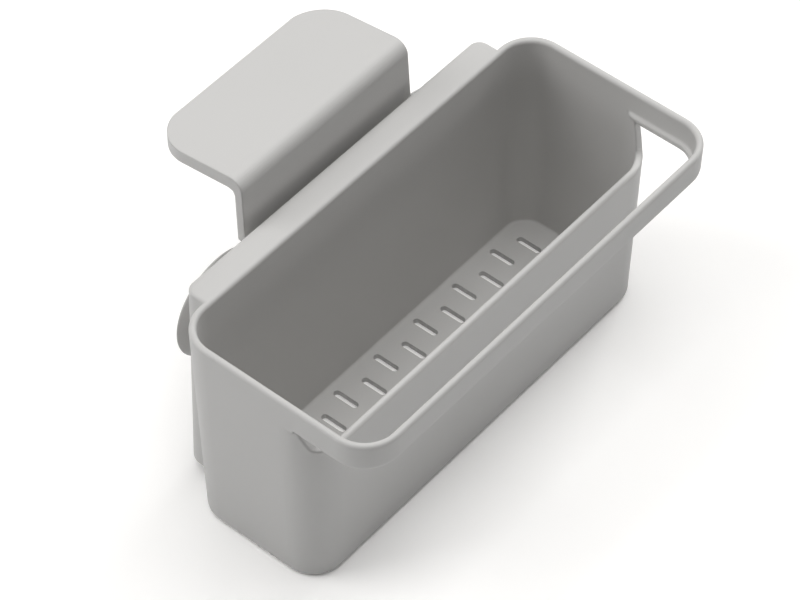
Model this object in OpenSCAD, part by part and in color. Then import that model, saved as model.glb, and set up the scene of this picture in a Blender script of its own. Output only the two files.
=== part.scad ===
// Kitchen sink caddy: a drafted tub with drain slots and a low front wall, a rail carried on two
// arms in front of it, a hanger that slides on its back for height, and two suction cups.
// Millimetres, +Z up, +Y towards the sink wall, origin under the middle of the bounding box.

/* [Tub] */
// Outer length over the rim band
body_w = 205.8; // [180:0.2:240]
// Outer depth at the rim plane, without the rail and the ledge
body_d = 68.7; // [60:0.1:90]
// Height from the resting face to the rim
body_h = 103; // [96:0.5:130]
// Wall thickness
wall = 2.9; // [2.7:0.1:3.2]
// Floor thickness
floor_t = 2.5; // [2:0.1:3]
// Draft of the walls, in degrees
draft_deg = 1.66; // [1:0.1:2]
// Outer radius of the back corners at the rim
back_r = 16; // [15:0.1:19]
// Outer radius of the front corners at the rim
front_r = 16.8; // [14.5:0.1:18]
// How far the front wall ends below the rim
front_drop = 25.4; // [23:0.2:40]
// Rounding of the outer bottom edge
foot_r = 2.8; // [1:0.2:5]
// Rounding of the rim edges
rim_r = 1.3; // [0.4:0.1:1.4]

/* [Rail] */
// Clear depth between the front wall line and the rail
rail_gap = 23.4; // [20:0.2:32]
// Height of the rail and of its arms
rail_h = 13.8; // [10:0.2:18]
// How far the bead along the lower inner edge of the rail and arms stands in
bead_d = 1.3; // [0.8:0.1:1.6]
// Height of that bead
bead_h = 2.9; // [1.8:0.1:3.4]
// Outer radius of the rail corners
rail_r = 16; // [12:0.2:19]

/* [Drain slots] */
// Width of one slot
slot_w = 3.1; // [2:0.1:4]
// Length of one slot
slot_l = 12; // [8:0.5:14]
// Step from one column of slots to the next
slot_pitch = 12.18; // [9:0.02:16]
// Floor left beside the outermost slots
slot_side = 9; // [6:0.5:20]
// Floor left behind the rearmost slots
slot_back = 3.3; // [3:0.1:6]
// Set-back of every second column
slot_stagger = 4.2; // [0:0.2:6]

/* [Ledge and skirt] */
// Rim left beside each end of the ledge
ledge_side = 17.7; // [17.6:0.1:26]
// Depth of the ledge behind the rim
ledge_d = 9.7; // [9:0.1:12]
// Thickness of the ledge and skirt
skirt_t = 2.2; // [1.8:0.1:2.6]
// Height of the skirt
skirt_h = 96; // [86:0.5:96]
// Outward lean of the skirt, in degrees
skirt_deg = 1.44; // [0.5:0.02:1.6]
// Plan radius of the ledge corners
ledge_r = 5; // [4:0.1:6]

/* [Hanger] */
// Width of the hook plate
hook_w = 95.2; // [80:0.2:100]
// Reach of the hook plate behind the front of its web
hook_reach = 46.8; // [36:0.2:60]
// Height of the hook plate's top above the rim, over its web
hook_rise = 22.7; // [18:0.1:40]
// Downward slope of the plate to its free edge, in degrees
hook_deg = 6.75; // [4:0.05:9]
// Height of the plate's turned-down rim
hook_rim_h = 5.75; // [4.5:0.05:8]
// Thickness of the plate and of its rim
hook_t = 2.6; // [2.2:0.1:3.2]
// Radius of the plate's free corners
hook_r = 17; // [12:0.5:22]
// Outer radius of the bend between plate and web
bend_r = 5.5; // [4.5:0.1:8]
// Thickness of the web and tongue
web_t = 3.6; // [3:0.1:4]
// Gap between the ledge and the web, over the rim
web_gap = 4; // [3.6:0.1:5]
// Lean of the web towards the tub, in degrees
web_deg = 2.6; // [2:0.1:3]
// Width of the sliding tongue
tongue_w = 48; // [40:0.5:50]
// Travel of the hanger up from its place
lift_up = 27; // [20:0.5:30]
// Travel of the hanger down from its place
lift_down = 4; // [2:0.5:5]

/* [Suction cups] */
// Diameter of a suction cup's lip
cup_d = 48.6; // [44:0.2:50]
// Distance of the lip from the skirt's boss
cup_reach = 10.2; // [9:0.1:12]
// Gap between each cup's lip and the side of the guide
cup_gap = 2.9; // [2:0.1:4]
// Depth of the cup axis below the rim
cup_drop = 42; // [40:0.2:46]
// Diameter of a cup's neck
neck_d = 8; // [7:0.1:9]

/* [Hidden] */
$fn = 72;
// one overrun for every cut
over = 1;
// steps in a rounded edge of a profile
arc_n = 5;
quarter = 90;
half_turn = 180;

// clearances
slide_gap = 0.3;
neck_gap = 0.1;
stop_gap = 0.3;

// tub
draft = tan(draft_deg);
half_w = body_w / 2;
back_cy = -back_r;
front_cy = -body_d + front_r;
floor_r = 1.2;
strip_r = 3;
floor_strip = front_r - strip_r;
lap = 2;
body_sink = body_h - front_drop;
lip_proud = 0.02;
lip_turn_r = 11.5;

// rail
rail_back = -body_d - rail_gap;
rail_front = rail_back - wall;
rail_cy = rail_front + rail_r;
rail_edge_r = 2.3;
rail_inner_r = 1;
bead_r = 0.5;
bead_turn = 46;
bead_slope = 0.9;
bead_run = 5;
rail_z = body_h - rail_h;
bead_z = rail_z + bead_h + bead_slope;
bead_x = inset(rail_z) - wall - bead_d;

// window above the front wall: its edge falls from where the wall's arc leaves the arm
dip_start = 6.4;
dip_deg = 68;
dip_r = 3;

// ledge and skirt
flare = tan(skirt_deg);
ledge_half = half_w - ledge_side;
ledge_cy = ledge_d - ledge_r;
ledge_edge_r = 1.2;
skirt_z = body_h - skirt_h;

// boss that carries a cup's neck
boss_r = 9.4;
boss_proud_share = 0.25;
boss_out = ledge_d + flare * (cup_drop + boss_r) + boss_proud_share * skirt_t;
boss_t = 3.4;
cup_z = body_h - cup_drop;
neck_r = neck_d / 2;
head_share = 1.5;
head_r = head_share * neck_r;
head_t = 3.6;
head_shares = [[0.6, 1], [1, 0.5]];
key_drop = 11.5;
key_gap = 0.6;
key_r = head_r + key_gap;
key_slot_share = 1.84;
key_slot = key_slot_share * neck_r;

// cup profile: radii as shares of the lip radius, depths as shares of the reach
cup_r = cup_d / 2;
cup_shares = [[0.35, 0.13], [0.40, 0.24], [0.50, 0.31], [0.66, 0.46], [0.82, 0.66], [0.94, 0.86], [1, 0.95]];
dish_shares = [[0.975, 1], [0.90, 0.91], [0.76, 0.74], [0.58, 0.58], [0.38, 0.48], [0, 0.45]];

// hanger, places from the back rim and the floor
web_y = ledge_d + web_gap;
web_lean = tan(web_deg);
hook_fall = tan(hook_deg);
hook_end = web_y + hook_reach;
hook_half = hook_w / 2;
rise_back = 2;
plate_y = web_y + rise_back;
plate_z = body_h + hook_rise;
web_top = body_h + hook_rise - hook_rim_h;
foot_drop = 11;
web_foot = body_h - foot_drop;
root_h = 4;
tongue_top = web_foot - root_h;
tongue_y = web_y - web_lean * (web_top - tongue_top);
tongue_spare = 36;
tongue_h = lift_up + tongue_spare;
tongue_z = tongue_top - tongue_h;
tongue_half = tongue_w / 2;
web_flare = 0.5;
web_r = 3;
barb = 2;
barb_h = 5;
slit_w = 6;
slit_h = 17;
throat_share = 0.3;
hook_edge_r = 0.8;

// guide on the skirt
pad_y = tongue_y - slide_gap;
guide_half = tongue_half + slide_gap;
guide_t = 3;
guide_lip = 4;
guide_back = tongue_y + web_t + slide_gap;
guide_lip_t = 2;
guide_top = web_foot - lift_down - stop_gap;
guide_bottom = tongue_z + barb_h + lift_up + stop_gap;
pad_z = tongue_z;
skirt_bite_share = 0.9;

// the cups stand beside the guide
cup_x = guide_half + guide_t + cup_gap + cup_r;

// from the rim frame to the part's own frame
y_shift = -(hook_end + rail_front) / 2;

// points of an arc about c from angle a to angle b
function arc_pts(c, r, a, b, n = arc_n) = [for (i = [0 : n]) c + r * [cos(a + (b - a) * i / n), sin(a + (b - a) * i / n)]];

// inward move of a wall at height z, below the rim's rounding
function inset(z) = -draft * (body_h - rim_r - z);

module placed() {
    translate([0, y_shift, 0]) children();
}

// a straight run of a profile, its faces to +X, along Y from y0 to y1
module run(x, y0, y1) {
    translate([x, y1, 0]) rotate([quarter, 0, 0]) linear_extrude(y1 - y0) children();
}

// a profile turned about a corner's upright axis, from angle a through a quarter
module corner(x, y, r, a) {
    translate([x, y, 0]) rotate([0, 0, a]) rotate_extrude(angle = quarter) translate([r, 0]) children();
}

// both sides of a piece that is mirrored about the middle
module both() {
    children();
    mirror([1, 0, 0]) children();
}

// wall of the tub with its rounded foot and rim and a strip of the floor, against the outer rim face
module tub_profile() {
    polygon(concat(
        arc_pts([inset(foot_r) - foot_r, foot_r], foot_r, -quarter, 0),
        arc_pts([-rim_r, body_h - rim_r], rim_r, 0, quarter, 4),
        arc_pts([-wall + rim_r, body_h - rim_r], rim_r, quarter, half_turn, 4),
        arc_pts([inset(floor_t + floor_r) - wall - floor_r, floor_t + floor_r], floor_r, 0, -quarter, 3),
        [[-floor_strip, floor_t], [-floor_strip, 0]]));
}

module tub_wall() {
    slab = floor_strip - lap;
    both() {
        corner(half_w - back_r, back_cy, back_r, 0) tub_profile();
        corner(half_w - front_r, front_cy, front_r, -quarter) tub_profile();
        run(half_w, front_cy, back_cy) tub_profile();
    }
    rotate([0, 0, quarter]) run(0, -half_w + back_r, half_w - back_r) tub_profile();
    translate([0, -body_d, 0]) rotate([0, 0, -quarter]) run(0, -half_w + front_r, half_w - front_r) tub_profile();
    translate([-half_w + slab, -body_d + slab, 0]) cube([body_w - 2 * slab, body_d - 2 * slab, floor_t]);
}

// upper part of the wall, against its outer rim face
module band_profile() {
    polygon(concat(
        [[inset(rail_z), rail_z]],
        arc_pts([-rim_r, body_h - rim_r], rim_r, 0, quarter),
        arc_pts([-wall + rim_r, body_h - rim_r], rim_r, quarter, half_turn),
        [[inset(rail_z) - wall, rail_z]]));
}

// the same band as a rail: round outside at its foot, with the bead inside
module rail_profile() {
    polygon(concat(
        arc_pts([inset(rail_z + rail_edge_r) - rail_edge_r, rail_z + rail_edge_r], rail_edge_r, -quarter, 0),
        arc_pts([-rim_r, body_h - rim_r], rim_r, 0, quarter),
        arc_pts([-wall + rim_r, body_h - rim_r], rim_r, quarter, half_turn),
        [[inset(bead_z) - wall, bead_z]],
        arc_pts([bead_x + bead_r, rail_z + bead_h - bead_r], bead_r, half_turn - bead_turn, half_turn, 3),
        arc_pts([bead_x + rail_inner_r, rail_z + rail_inner_r], rail_inner_r, half_turn, half_turn + quarter, 4)));
}

module rail_band() {
    window_y = front_cy - dip_start;
    both() {
        run(half_w, window_y, front_cy + lap) band_profile();
        difference() {
            run(half_w, rail_cy, window_y + bead_run) rail_profile();
            // the bead fades out on the tub's inner wall behind the window
            rotate([quarter, 0, quarter]) linear_extrude(half_w + over) polygon([
                [window_y, rail_z - bead_r], [window_y + bead_run + lap, rail_z - bead_r],
                [window_y + bead_run + lap, bead_z], [window_y + bead_run, bead_z]]);
        }
        corner(half_w - rail_r, rail_cy, rail_r, -quarter) rail_profile();
    }
    translate([0, rail_front, 0]) rotate([0, 0, -quarter]) run(0, -half_w + rail_r, half_w - rail_r) rail_profile();
}

// side view of the window between the rail and the low front wall, cut along X
module window_profile() {
    x0 = front_cy - dip_start;
    fall = rail_z - body_sink - dip_r * (1 - cos(dip_deg));
    x1 = x0 - fall / tan(dip_deg);
    // the wall reaches up into the arm's rounded lower edge as far as the window's start
    top = rail_z + rail_edge_r;
    polygon(concat(
        [[front_cy, body_h + over], [front_cy, top], [x0, top], [x0, rail_z]],
        arc_pts([x1 - dip_r * sin(dip_deg), body_sink + dip_r], dip_r, dip_deg - quarter, -quarter, 4),
        [[-body_d - over, body_sink], [-body_d - over, body_h + over]]));
}

// what rounding takes off the front wall's lip, on its outside and its inside, against the outer rim face
module lip_outside() {
    low = body_sink - rim_r;
    c = [inset(low) - rim_r + lip_proud, low];
    polygon(concat(
        arc_pts(c, rim_r, 0, quarter, 4),
        [c + [0, rim_r + over], c + [rim_r + over, rim_r + over], c + [rim_r + over, 0]]));
}

module lip_inside() {
    low = body_sink - rim_r;
    c = [inset(low) - wall + rim_r - lip_proud, low];
    polygon(concat(
        arc_pts(c, rim_r, quarter, half_turn, 4),
        [c + [-rim_r - over, 0], c + [-rim_r - over, rim_r + over], c + [0, rim_r + over]]));
}

// both roundings run out of the wall where its corners turn: the outer one straight on, the inner one in a bend
module lip_rounding() {
    translate([0, -body_d, 0]) rotate([0, 0, -quarter]) {
        run(0, -half_w, half_w) lip_outside();
        run(0, -half_w + front_r, half_w - front_r) lip_inside();
    }
    both() corner(half_w - front_r, -body_d + lip_turn_r, lip_turn_r, -quarter) lip_inside();
}

// outer points of the skirt's profile against the ledge's outer face, leaning out downwards
module skirt_profile() {
    out = flare * skirt_h;
    top = flare * ledge_edge_r;
    polygon(concat(
        [[out - skirt_t, skirt_z], [out, skirt_z]],
        arc_pts([top - ledge_edge_r, body_h - ledge_edge_r], ledge_edge_r, 0, quarter, 4),
        [[-ledge_r, body_h], [-ledge_r, body_h - skirt_t], [-skirt_t, body_h - skirt_t]]));
}

module skirt() {
    difference() {
        union() {
            both() {
                corner(ledge_half - ledge_r, ledge_cy, ledge_r, 0) skirt_profile();
                run(ledge_half, back_cy / 2, ledge_cy) skirt_profile();
            }
            translate([0, ledge_d, 0]) rotate([0, 0, quarter]) run(0, -ledge_half + ledge_r, ledge_half - ledge_r)
                skirt_profile();
            translate([-ledge_half + ledge_r, back_cy / 2, body_h - skirt_t])
                cube([2 * ledge_half - 2 * ledge_r, ledge_cy - back_cy / 2, skirt_t]);
        }
        // the flanges and the ledge end inside the tub's back wall
        translate([-half_w, 0, 0]) rotate([quarter, 0, quarter]) linear_extrude(body_w) polygon([
            [-wall / 2, body_h + over], [-wall / 2, body_h], [inset(0) - wall / 2, 0],
            [back_cy, 0], [back_cy, body_h + over]]);
    }
}

// pad and two lipped rails that the hanger's tongue slides in
module guide() {
    full = guide_half + guide_t;
    root = ledge_d + flare * (body_h - pad_z) - skirt_bite_share * skirt_t;
    translate([-full, root, pad_z]) cube([2 * full, pad_y - root, guide_top - pad_z]);
    both() {
        translate([guide_half, root, guide_bottom])
            cube([guide_t, guide_back + guide_lip_t - root, guide_top - guide_bottom]);
        translate([guide_half - guide_lip, guide_back, guide_bottom])
            cube([guide_lip + guide_t / 2, guide_lip_t, guide_top - guide_bottom]);
    }
}

module along_y(y0, y1, r) {
    translate([0, y0, 0]) rotate([-quarter, 0, 0]) cylinder(h = y1 - y0, r = r);
}

// seat of a cup's neck, with the wider hole below it that its head goes in through
module key_hole() {
    back = boss_out + over;
    front = boss_out - boss_t - over;
    along_y(front, back, neck_r + neck_gap);
    translate([0, 0, -key_drop]) along_y(front, back, key_r);
    translate([-key_slot / 2, front, -key_drop]) cube([key_slot, back - front, key_drop]);
}

module drain_slot() {
    straight = slot_l - slot_w;
    height = floor_t + 2 * over;
    translate([0, -slot_l / 2, -over]) {
        translate([-slot_w / 2, slot_w / 2, 0]) cube([slot_w, straight, height]);
        translate([0, slot_w / 2, 0]) cylinder(h = height, d = slot_w, $fn = 24);
        translate([0, slot_w / 2 + straight, 0]) cylinder(h = height, d = slot_w, $fn = 24);
    }
}

module drain_slots() {
    floor_back = inset(floor_t) - wall;
    floor_front = -body_d - floor_back;
    reach = half_w + floor_back - slot_side;
    count = floor(reach / slot_pitch);
    for (i = [-count : count]) {
        set_back = slot_back + slot_l / 2 + (i % 2 == 0 ? 0 : slot_stagger);
        translate([i * slot_pitch, floor_back - set_back, 0]) drain_slot();
        translate([i * slot_pitch, floor_front + set_back, 0]) drain_slot();
    }
}

module tub() color("#b9b5ad") placed() {
    difference() {
        union() {
            difference() {
                tub_wall();
                translate([-half_w - over, 0, 0]) rotate([quarter, 0, quarter])
                    linear_extrude(body_w + 2 * over) window_profile();
                lip_rounding();
            }
            skirt();
            guide();
            both() translate([cup_x, 0, cup_z]) along_y(boss_out - boss_t, boss_out, boss_r);
            rail_band();
        }
        both() translate([cup_x, 0, cup_z]) key_hole();
        drain_slots();
    }
}

// side view of the hanger: sloping plate, bend, leaning web and upright tongue
module hook_side() {
    plate = [hook_fall, 1] / norm([hook_fall, 1]);
    face = [-1, web_lean] / norm([-1, web_lean]);
    // the plate's top line and the web's front line cross at the bend
    web_rise = (plate_z - hook_fall * (web_y - plate_y) - web_top) / (1 + hook_fall * web_lean);
    knee = [web_y + web_lean * web_rise, web_top + web_rise];
    half_turn_in = acos(-plate * face) / 2;
    span = bend_r / tan(half_turn_in);
    down = [-web_lean, -1] / norm([web_lean, 1]);
    centre = knee + span * down - bend_r * face;
    start = atan2(face[1], face[0]);
    end = atan2(plate[1], plate[0]);
    end_z = plate_z - hook_fall * (hook_end - plate_y);
    back_y = web_y + web_t;
    throat = plate_z - hook_fall * (back_y - plate_y) - hook_rim_h;
    polygon(concat(
        [[tongue_y, tongue_z], [tongue_y, tongue_top]],
        arc_pts(centre, bend_r, start, end, 8),
        arc_pts([hook_end - hook_edge_r, end_z - hook_edge_r], hook_edge_r, quarter, 0),
        [[hook_end, end_z - hook_rim_h]],
        [[back_y + web_r, throat - hook_fall * web_r]],
        [[back_y + web_lean * (throat - web_top) + throat_share * web_r, throat - throat_share * web_r]],
        [[back_y + web_lean * (throat - web_r - web_top), throat - web_r]],
        [[tongue_y + web_t, tongue_top], [tongue_y + web_t, tongue_z]]));
}

// hollow under the plate, inside its turned-down rim
module hook_hollow() {
    back_y = web_y + web_t;
    low = hook_rim_h + over + web_r;
    in_y = hook_end - hook_t;
    polygon([
        [back_y, plate_z - hook_fall * (back_y - plate_y) - hook_t],
        [in_y, plate_z - hook_fall * (in_y - plate_y) - hook_t],
        [in_y, plate_z - hook_fall * (in_y - plate_y) - low],
        [back_y, plate_z - hook_fall * (back_y - plate_y) - low]]);
}

// plan of the plate, drawn in by t, with two round free corners
module hook_plan(t) {
    r = hook_r - t;
    half = hook_half - t;
    front = tongue_y - over;
    end = hook_end - t;
    translate([-half + r, end - r]) circle(r);
    translate([half - r, end - r]) circle(r);
    translate([-half + r, front]) square([2 * half - 2 * r, end - front]);
    translate([-half, front]) square([2 * half, end - r - front]);
}

// front view of the hanger: web with rounded shoulders, tongue with two barbs and a slit
module hook_front() {
    foot_half = hook_half + web_flare;
    shoulder = arc_pts([foot_half - web_r, web_foot + web_r], web_r, 0, -quarter);
    right = concat(
        [[hook_half, plate_z + over], [hook_half, web_top]],
        shoulder,
        [[tongue_half, web_foot]],
        [[tongue_half, tongue_z + barb_h], [tongue_half + barb, tongue_z + barb_h]],
        [[tongue_half + barb, tongue_z + barb_h - barb], [tongue_half, tongue_z]]);
    n = len(right);
    difference() {
        polygon(concat(right, [for (i = [n - 1 : -1 : 0]) [-right[i][0], right[i][1]]]));
        translate([-slit_w / 2, tongue_z - over]) square([slit_w, slit_h + over]);
        translate([0, tongue_z + slit_h]) circle(slit_w / 2);
    }
}

module hanger() color("#c4c1ba") placed() {
    difference() {
        intersection() {
            translate([-hook_w, 0, 0]) rotate([quarter, 0, quarter]) linear_extrude(2 * hook_w) hook_side();
            translate([0, hook_end + over, 0]) rotate([quarter, 0, 0])
                linear_extrude(hook_end + 2 * over) hook_front();
            union() {
                translate([0, 0, web_top - hook_reach * hook_fall - hook_rim_h])
                    linear_extrude(plate_z) hook_plan(0);
                translate([-hook_w, tongue_y - over, 0])
                    cube([2 * hook_w, web_y + web_t + over - tongue_y, plate_z + over]);
            }
        }
        intersection() {
            translate([-hook_w, 0, 0]) rotate([quarter, 0, quarter]) linear_extrude(2 * hook_w) hook_hollow();
            linear_extrude(2 * plate_z) hook_plan(hook_t);
        }
    }
}

// one rubber cup: head, neck, thick middle and thin dished lip, turned about the Y axis
module suction_cup(side) placed() {
    translate([side * cup_x, boss_out, cup_z]) rotate([-quarter, 0, 0]) rotate_extrude() polygon(concat(
        [[0, -boss_t - head_t]],
        [for (s = head_shares) [s[0] * head_r, -boss_t - s[1] * head_t]],
        [[head_r, -boss_t - neck_gap]],
        [[neck_r, -boss_t - neck_gap], [neck_r, neck_gap]],
        [[cup_shares[0][0] * cup_r, neck_gap]],
        [for (s = cup_shares) [s[0] * cup_r, s[1] * cup_reach]],
        [for (s = dish_shares) [s[0] * cup_r, s[1] * cup_reach]]));
}

module suction_cup_left() color("#a3a19b") suction_cup(-1);

module suction_cup_right() color("#a3a19b") suction_cup(1);

tub();
hanger();
suction_cup_left();
suction_cup_right();
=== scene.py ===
"""Kitchen sink caddy: the moulded tub with its rail, the hanger and the two suction cups."""

import math

import bpy
from mathutils import Matrix, Vector


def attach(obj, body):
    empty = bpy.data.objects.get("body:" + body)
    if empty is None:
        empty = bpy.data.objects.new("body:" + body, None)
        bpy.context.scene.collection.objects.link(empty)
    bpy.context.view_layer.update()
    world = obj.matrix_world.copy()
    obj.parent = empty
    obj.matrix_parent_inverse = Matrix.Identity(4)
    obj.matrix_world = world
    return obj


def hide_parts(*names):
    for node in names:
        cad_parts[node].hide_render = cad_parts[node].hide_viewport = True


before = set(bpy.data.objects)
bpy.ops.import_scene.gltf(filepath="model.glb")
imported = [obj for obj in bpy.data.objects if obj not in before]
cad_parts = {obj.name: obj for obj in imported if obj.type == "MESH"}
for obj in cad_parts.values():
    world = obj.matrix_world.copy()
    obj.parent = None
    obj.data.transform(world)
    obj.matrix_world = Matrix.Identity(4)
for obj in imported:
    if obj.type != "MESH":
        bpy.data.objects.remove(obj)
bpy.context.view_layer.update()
MM = 0.001


class Wire:
    """A shader value that adds Math nodes as it is used in an expression."""

    def __init__(self, finish, socket):
        self.finish, self.socket = finish, socket

    def _math(self, operation, *values):
        return self.finish.node("ShaderNodeMath", {"operation": operation}, *values)[0]

    def __add__(self, other):
        return self._math("ADD", self, other)

    def __sub__(self, other):
        return self._math("SUBTRACT", self, other)

    def __mul__(self, other):
        return self._math("MULTIPLY", self, other)

    def clamp(self):
        return self._math("MINIMUM", self._math("MAXIMUM", self, 0.0), 1.0)


class Finish:
    """A material of one finish, and the nodes that make it."""

    def __init__(self, name):
        self.material = bpy.data.materials.new(name)
        self.material.use_nodes = True
        self.nodes = self.material.node_tree.nodes
        self.links = self.material.node_tree.links
        self.shader = self.nodes["Principled BSDF"]
        self.output = self.nodes["Material Output"]

    def node(self, kind, settings, *values, **named):
        """A new node, with inputs given by place or by name. Its outputs come back as wires."""
        made = self.nodes.new(kind)
        for key, value in settings.items():
            setattr(made, key, value)
        for key, value in list(enumerate(values)) + list(named.items()):
            self.feed(made.inputs[key if isinstance(key, int) else key.replace("_", " ")], value)
        return [Wire(self, out) for out in made.outputs]

    def feed(self, socket, value):
        if isinstance(value, Wire):
            self.links.new(value.socket, socket)
        else:
            socket.default_value = value

    def place(self):
        """The position on the piece, in metres."""
        return self.node("ShaderNodeTexCoord", {})[3]

    def height(self):
        """The height above the surface that the tub stands on, in metres."""
        return self.node("ShaderNodeSeparateXYZ", {}, self.place())[2]

    def noise(self, size, detail=2.0, rough=0.5):
        """Noise between 0 and 1 with features of about this size, in metres."""
        return self.node("ShaderNodeTexNoise", {}, Vector=self.place(), Scale=1.0 / size, Detail=detail,
                         Roughness=rough)[0]

    def tint(self, mask, low, high):
        """A colour from low to high as mask goes from 0 to 1."""
        out = self.node("ShaderNodeMix", {"data_type": "RGBA"})
        mix = out[2].socket.node
        self.feed(mix.inputs[0], mask)
        self.feed(mix.inputs[6], (*low, 1.0))
        self.feed(mix.inputs[7], (*high, 1.0))
        return out[2]

    def bump(self, height, depth, strength):
        return self.node("ShaderNodeBump", {}, Strength=strength, Distance=depth, Height=height)[0]


# spark texture of the moulded plastic, in metres
SPARK_SIZE = 0.00035
SPARK_DEPTH = 0.00002


def moulded_plastic(name, low, high, softness):
    """Satin moulded plastic with a fine spark texture, faint clouding and softened sharp edges."""
    finish = Finish(name)
    cloud = finish.noise(0.05, 3.0)
    speck = finish.noise(SPARK_SIZE, 3.0, 0.6)
    colour = finish.tint((cloud * 0.7 + speck * 0.3).clamp(), low, high)
    finish.feed(finish.shader.inputs["Base Color"], colour)
    finish.feed(finish.shader.inputs["Roughness"], speck * 0.12 + cloud * 0.06 + 0.42)
    finish.shader.inputs["IOR"].default_value = 1.46
    soft = finish.node("ShaderNodeBevel", {"samples": 8})[0]
    finish.feed(soft.socket.node.inputs["Radius"], edge_radius(finish, **softness))
    sparks = finish.bump(speck, SPARK_DEPTH, 0.6)
    finish.feed(sparks.socket.node.inputs["Normal"], soft)
    finish.feed(finish.shader.inputs["Normal"], sparks)
    return finish.material


def edge_radius(finish, start, rate, least, more):
    """The radius of a softened edge: least up to the height start, then larger by up to more."""
    return ((finish.height() - start) * rate).clamp() * more + least


def cup_rubber(name, low, high):
    """Soft grey rubber with a slight sheen."""
    finish = Finish(name)
    cloud = finish.noise(0.012, 3.0)
    speck = finish.noise(0.0003)
    finish.feed(finish.shader.inputs["Base Color"], finish.tint(cloud, low, high))
    finish.feed(finish.shader.inputs["Roughness"], cloud * 0.15 + 0.32)
    finish.feed(finish.shader.inputs["Normal"], finish.bump(speck, 0.00001, 0.4))
    return finish.material


# crisp around the drain slots, and softer from there up to the lip
TUB_EDGES = {"start": 0.012, "rate": 60.0, "least": 0.0004, "more": 0.0016}
# crisp below, around the tongue and its barbs, and softer around the hook plate
HOOK_EDGES = {"start": 0.085, "rate": 100.0, "least": 0.0003, "more": 0.0007}

tub_plastic = moulded_plastic("tub_plastic", (0.545, 0.538, 0.526), (0.575, 0.568, 0.555), TUB_EDGES)
hook_plastic = moulded_plastic("hook_plastic", (0.555, 0.548, 0.536), (0.585, 0.578, 0.565), HOOK_EDGES)
rubber = cup_rubber("cup_rubber", (0.50, 0.494, 0.482), (0.57, 0.563, 0.55))


def coat(piece, material):
    piece.data.materials.clear()
    piece.data.materials.append(material)


coat(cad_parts["tub"], tub_plastic)
coat(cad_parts["hanger"], hook_plastic)

# places of the cups in millimetres: left and right of the middle, the boss's face and the height
CUP_SIDE = 54.5
CUP_BOSS = 28.795
CUP_HEIGHT = 61.0
CUP_STEPS = 56
# radius and distance from the boss, in millimetres: the hidden head, the neck, the back of the cup
# out to its lip, and the dish back to its middle
CUP_HEAD = [(3.6, -7.0), (5.6, -6.3), (6.0, -5.2), (6.0, -3.7), (5.7, -3.5), (3.95, -3.5)]
CUP_NECK = [(3.95, 0.1), (4.4, 0.2), (7.8, 0.3), (8.6, 1.2), (9.8, 2.3)]
CUP_BACK = [(12.3, 3.1), (16.0, 4.6), (19.8, 6.6), (22.6, 8.5), (23.8, 9.35), (24.25, 9.75)]
CUP_DISH = [(24.25, 10.05), (23.9, 10.18), (23.3, 10.0), (21.6, 9.0), (18.4, 7.5), (14.1, 5.9),
            (9.2, 4.9), (4.0, 4.65)]
CUP_RINGS = CUP_HEAD + CUP_NECK + CUP_BACK + CUP_DISH
# inner rings of the two flat ends, as insets in metres
HEAD_INSET = 0.0012
DISH_INSET = 0.0016


def cup_point(middle, out):
    """A point on the cup's axis, this far out from the boss."""
    return (middle * MM, (CUP_BOSS + out) * MM, CUP_HEIGHT * MM)


def suction_cup(node, middle):
    """One cup, drawn out ring by ring along Y from its head to its dish."""
    bpy.ops.object.select_all(action="DESELECT")
    radius, out = CUP_RINGS[0]
    bpy.ops.mesh.primitive_circle_add(vertices=CUP_STEPS, radius=radius * MM, fill_type="NGON",
                                      location=cup_point(middle, out), rotation=(math.pi / 2, 0.0, 0.0))
    piece = bpy.context.object
    piece.name = node + "_rubber"
    bpy.ops.object.transform_apply(location=True, rotation=True, scale=True)
    bpy.ops.object.mode_set(mode="EDIT")
    bpy.ops.mesh.select_all(action="SELECT")
    bpy.ops.mesh.inset(thickness=HEAD_INSET)
    bpy.ops.mesh.select_all(action="SELECT")
    bpy.ops.mesh.region_to_loop()
    for (last_radius, last_out), (radius, out) in zip(CUP_RINGS, CUP_RINGS[1:]):
        step = (0.0, (out - last_out) * MM, 0.0)
        bpy.ops.mesh.extrude_edges_move(TRANSFORM_OT_translate={"value": step})
        scale = radius / last_radius
        bpy.ops.transform.resize(value=(scale, 1.0, scale), center_override=cup_point(middle, out))
    bpy.ops.mesh.edge_face_add()
    bpy.ops.mesh.inset(thickness=DISH_INSET)
    bpy.ops.mesh.select_all(action="SELECT")
    bpy.ops.mesh.normals_make_consistent(inside=False)
    bpy.ops.object.mode_set(mode="OBJECT")
    smooth = piece.modifiers.new("smooth", "SUBSURF")
    smooth.levels = smooth.render_levels = 1
    bpy.ops.object.modifier_apply(modifier=smooth.name)
    bpy.ops.object.shade_smooth()
    coat(piece, rubber)
    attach(piece, "tub")
    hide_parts(node)


suction_cup("suction_cup_left", -CUP_SIDE)
suction_cup("suction_cup_right", CUP_SIDE)

# camera of the photograph, solved from the tub's edges: angles in degrees, lengths in millimetres
CAMERA_ELEVATION = 48.949
CAMERA_AZIMUTH = -49.959
CAMERA_ROLL = -0.034
# a point near the middle of the rim, as the camera sees it and where it is in the frame
POINT_FROM_CAMERA = Vector((20.454, 24.399, -1334.865))
POINT_IN_FRAME = Vector((-0.3, -32.05, 103.0))
# focal length in pixels of a picture this wide, and the width of the camera's sensor
FOCAL_PX = 3601.0
PICTURE_WIDTH = 800.0
SENSOR_WIDTH = 36.0


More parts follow.
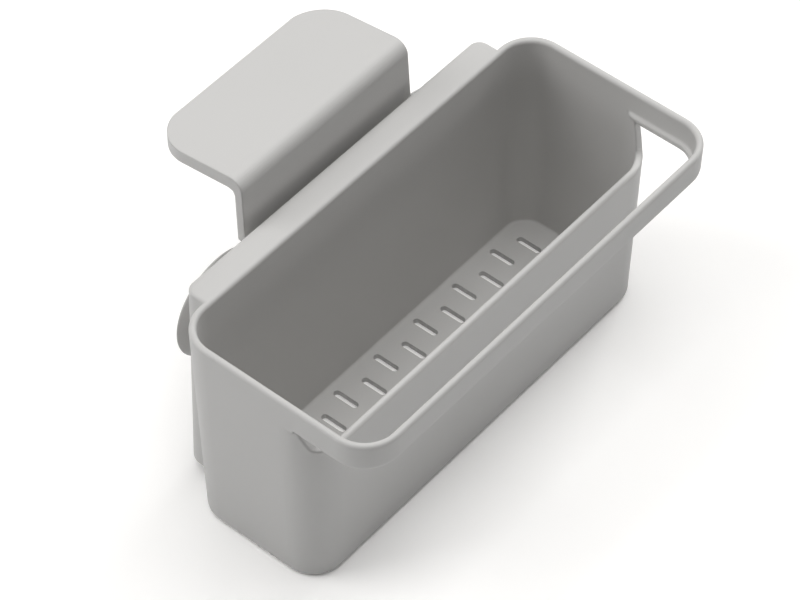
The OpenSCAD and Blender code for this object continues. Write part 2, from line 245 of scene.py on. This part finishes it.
def photo_camera():
    elevation, azimuth = math.radians(CAMERA_ELEVATION), math.radians(CAMERA_AZIMUTH)
    roll = math.radians(CAMERA_ROLL)
    back = Vector((math.sin(azimuth) * math.cos(elevation), -math.cos(azimuth) * math.cos(elevation),
                   math.sin(elevation)))
    right = Vector((math.cos(azimuth), math.sin(azimuth), 0.0))
    up = back.cross(right)
    turned_right = right * math.cos(roll) + up * math.sin(roll)
    turned_up = up * math.cos(roll) - right * math.sin(roll)
    offset = POINT_FROM_CAMERA
    place = POINT_IN_FRAME - (turned_right * offset.x + turned_up * offset.y + back * offset.z)
    data = bpy.data.cameras.new("photo_camera")
    data.sensor_fit = "HORIZONTAL"
    data.sensor_width = SENSOR_WIDTH
    data.lens = SENSOR_WIDTH * FOCAL_PX / PICTURE_WIDTH
    data.clip_end = 20.0
    camera = bpy.data.objects.new("photo_camera", data)
    rows = Matrix((turned_right, turned_up, back)).transposed().to_4x4()
    camera.matrix_world = Matrix.Translation(place * MM) @ rows
    bpy.context.scene.collection.objects.link(camera)
    bpy.context.scene.camera = camera


def soft_lamp(name, place, aim, size, power):
    data = bpy.data.lights.new(name, "AREA")
    data.shape = "RECTANGLE"
    data.size, data.size_y = size
    data.energy = power
    lamp = bpy.data.objects.new(name, data)
    lamp.location = place
    lamp.rotation_euler = (Vector(aim) - Vector(place)).to_track_quat("-Z", "Y").to_euler()
    bpy.context.scene.collection.objects.link(lamp)


FLOOR_SIZE = 8.0
# the floor lies this far below the tub's foot, in metres
FLOOR_DROP = 0.0002


def pale_floor():
    """White floor. The camera sees its shadows lifted, and the object is lit by plain white."""
    bpy.ops.object.select_all(action="DESELECT")
    bpy.ops.mesh.primitive_plane_add(size=FLOOR_SIZE, location=(0.0, 0.0, -FLOOR_DROP))
    floor = bpy.context.object
    floor.name = "floor"
    finish = Finish("pale_floor")
    cloud = finish.noise(0.3)
    finish.feed(finish.shader.inputs["Base Color"],
                finish.tint(cloud, (0.93, 0.93, 0.93), (0.95, 0.95, 0.95)))
    finish.shader.inputs["Roughness"].default_value = 0.9
    finish.shader.inputs["Specular IOR Level"].default_value = 0.0
    # painted light: the camera sees the floor's shade with a warm tint that stands in for warm bounce
    # light from the tub, plus an even glow that lifts its shadows
    shade = finish.node("ShaderNodeBsdfDiffuse", {}, Color=(0.985, 0.975, 0.96, 1.0))[0]
    glow = finish.node("ShaderNodeEmission", {}, Color=(1.0, 1.0, 1.0, 1.0), Strength=0.1)[0]
    seen = finish.node("ShaderNodeAddShader", {}, shade, glow)[0]
    camera_ray = finish.node("ShaderNodeLightPath", {})[0]
    plain = Wire(finish, finish.shader.outputs[0])
    mixed = finish.node("ShaderNodeMixShader", {}, camera_ray, plain, seen)[0]
    finish.feed(finish.output.inputs["Surface"], mixed)
    coat(floor, finish.material)


# place and size in metres and power in watts
LAMPS = {
    "overhead": ((0.0, 0.0, 1.6), (1.4, 1.4), 19.3),
    "back_left": ((-0.9, 0.9, 1.1), (0.9, 0.9), 9.8),
    "front_right": ((1.0, -1.2, 0.8), (0.9, 0.9), 1.8),
    "right": ((1.5, 0.1, 0.8), (0.9, 0.9), 11.4),
    "back": ((0.1, 1.5, 0.8), (0.9, 0.9), 1.2),
}
# what the lamps point at
LAMP_AIM = (0.0, 0.0, 0.05)
WORLD_STRENGTH = 0.03


def studio():
    world = bpy.data.worlds.new("studio")
    bpy.context.scene.world = world
    world.use_nodes = True
    background = world.node_tree.nodes["Background"]
    background.inputs["Color"].default_value = (1.0, 1.0, 1.0, 1.0)
    background.inputs["Strength"].default_value = WORLD_STRENGTH
    for name, (place, size, power) in LAMPS.items():
        soft_lamp(name, place, LAMP_AIM, size, power)
    bpy.context.scene.view_settings.view_transform = "Standard"


photo_camera()
pale_floor()
studio()
